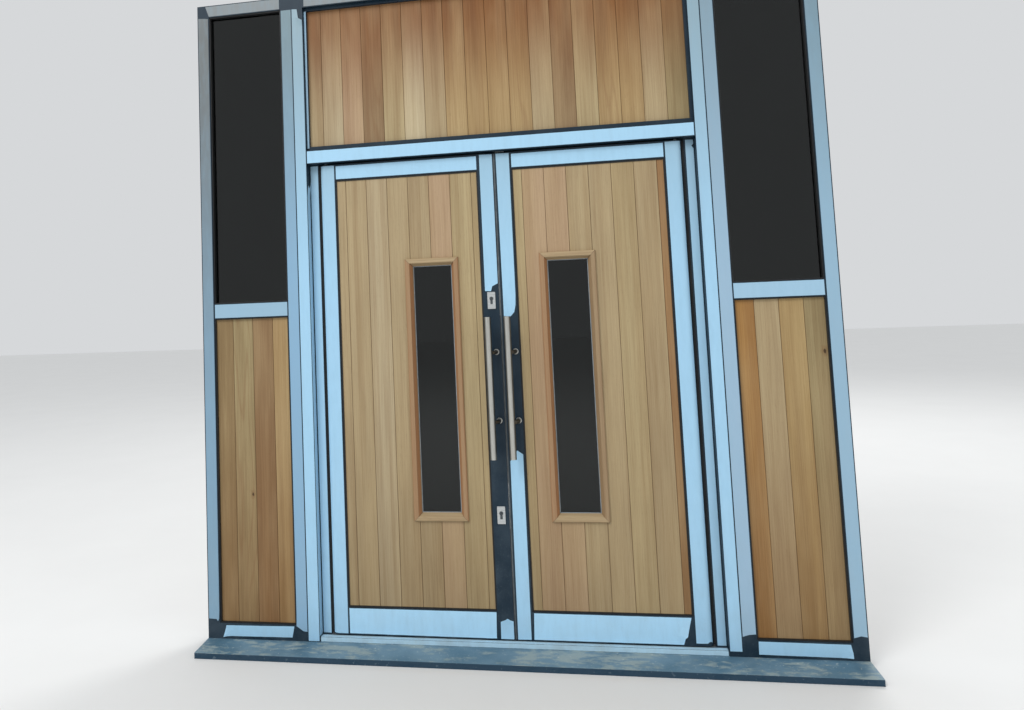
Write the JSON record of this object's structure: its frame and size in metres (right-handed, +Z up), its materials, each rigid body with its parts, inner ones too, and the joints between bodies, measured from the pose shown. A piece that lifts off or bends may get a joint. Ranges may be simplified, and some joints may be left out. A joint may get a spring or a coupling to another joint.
{
  "type": "entrance door screen",
  "caption": "Glazed entrance screen: a pair of timber-clad aluminium doors with narrow vision panels, pull bars, side lights, an over-panel and a sill.",
  "frame": {"origin": "on the ground under the middle of the screen", "axes": "+X to the right as seen from outside, -Y towards the outside, +Z up"},
  "size_m": [2.8, 0.306, 2.995],
  "materials": {
    "frame_coat": "matt powder coat",
    "timber": "oiled",
    "core_board": "sawn",
    "glass": "clear",
    "gasket": "matt",
    "spacer_bar": "matt",
    "steel": "satin",
    "closer_metal": "satin",
    "brush": "pile"
  },
  "bodies": {
    "frame": {"sill": "frame_coat", "threshold": "frame_coat", "left_outer_jamb": "frame_coat", "right_outer_jamb": "frame_coat", "left_inner_jamb": "frame_coat", "right_inner_jamb": "frame_coat", "side_rails": "frame_coat", "left_mullion": "frame_coat", "right_mullion": "frame_coat", "transom": "frame_coat", "over_head": "frame_coat", "door_jambs": "frame_coat", "side_panes": "glass", "side_spacers": "spacer_bar", "lower_boards": "timber", "over_boards": "timber", "panel_cores": "core_board", "fixed_gaskets": "gasket", "inner_beads": "frame_coat", "over_beads": "frame_coat", "transom_closers": "closer_metal", "floor_pivots": "steel", "bolt_keeps": "steel", "frame_brushes": "brush"},
    "left_leaf": {"left_hinge_stile": "frame_coat", "left_meeting_stile": "frame_coat", "left_top_rail": "frame_coat", "left_bottom_rail": "frame_coat", "left_leaf_boards": "timber", "left_leaf_core": "core_board", "left_leaf_gaskets": "gasket", "left_vision_beads": "timber", "left_vision_panes": "glass", "left_vision_spacer": "spacer_bar", "left_pull_handles": "steel", "left_pivot_shoes": "steel", "lock_cases": "steel", "lock_cylinders": "steel", "escutcheons": "steel"},
    "right_leaf": {"right_hinge_stile": "frame_coat", "right_meeting_stile": "frame_coat", "right_top_rail": "frame_coat", "right_bottom_rail": "frame_coat", "right_leaf_boards": "timber", "right_leaf_core": "core_board", "right_leaf_gaskets": "gasket", "right_vision_beads": "timber", "right_vision_panes": "glass", "right_vision_spacer": "spacer_bar", "right_pull_handles": "steel", "right_pivot_shoes": "steel", "strikes": "steel", "flush_bolt_guides": "steel", "meeting_seal": "gasket"},
    "lower_turn_body": {"lower_turn": "steel"},
    "lower_bolt_body": {"lower_bolt": "steel"},
    "upper_turn_body": {"upper_turn": "steel"},
    "upper_bolt_body": {"upper_bolt": "steel"},
    "top_flush_bolt_body": {"top_flush_bolt": "steel"},
    "bottom_flush_bolt_body": {"bottom_flush_bolt": "steel"}
  },
  "joints": [
    {"name": "left_leaf_swing", "type": "hinge", "parent": "frame", "child": "left_leaf", "pos_m": [-0.791, 0.043, 0.056], "axis": [0, 0, -1], "range_deg": [0, 90], "stiffness_Nm_per_rad": 15, "springref_deg": -17.19},
    {"name": "right_leaf_swing", "type": "hinge", "parent": "frame", "child": "right_leaf", "pos_m": [0.791, 0.043, 0.056], "axis": [0, 0, 1], "range_deg": [0, 90], "stiffness_Nm_per_rad": 15, "springref_deg": -17.19},
    {"name": "lower_turn_spin", "type": "hinge", "parent": "left_leaf", "child": "lower_turn_body", "pos_m": [-0.038, 0.043, 0.59], "axis": [0, 1, 0], "range_deg": [0, 90]},
    {"name": "lower_bolt_slide", "type": "slide", "parent": "left_leaf", "child": "lower_bolt_body", "axis": [1, 0, 0], "range_m": [0, 0.017]},
    {"name": "upper_turn_spin", "type": "hinge", "parent": "left_leaf", "child": "upper_turn_body", "pos_m": [-0.038, 0.043, 1.525], "axis": [0, 1, 0], "range_deg": [0, 90]},
    {"name": "upper_bolt_slide", "type": "slide", "parent": "left_leaf", "child": "upper_bolt_body", "axis": [1, 0, 0], "range_m": [0, 0.017]},
    {"name": "top_flush_bolt_slide", "type": "slide", "parent": "right_leaf", "child": "top_flush_bolt_body", "axis": [0, 0, 1], "range_m": [0, 0.018]},
    {"name": "bottom_flush_bolt_slide", "type": "slide", "parent": "right_leaf", "child": "bottom_flush_bolt_body", "axis": [0, 0, -1], "range_m": [0, 0.018]}
  ],
  "couplings": [
    {"joint": "lower_turn_spin", "follows": "lower_bolt_slide", "rad_per_m": 92.39},
    {"joint": "upper_turn_spin", "follows": "upper_bolt_slide", "rad_per_m": 92.39}
  ]
}
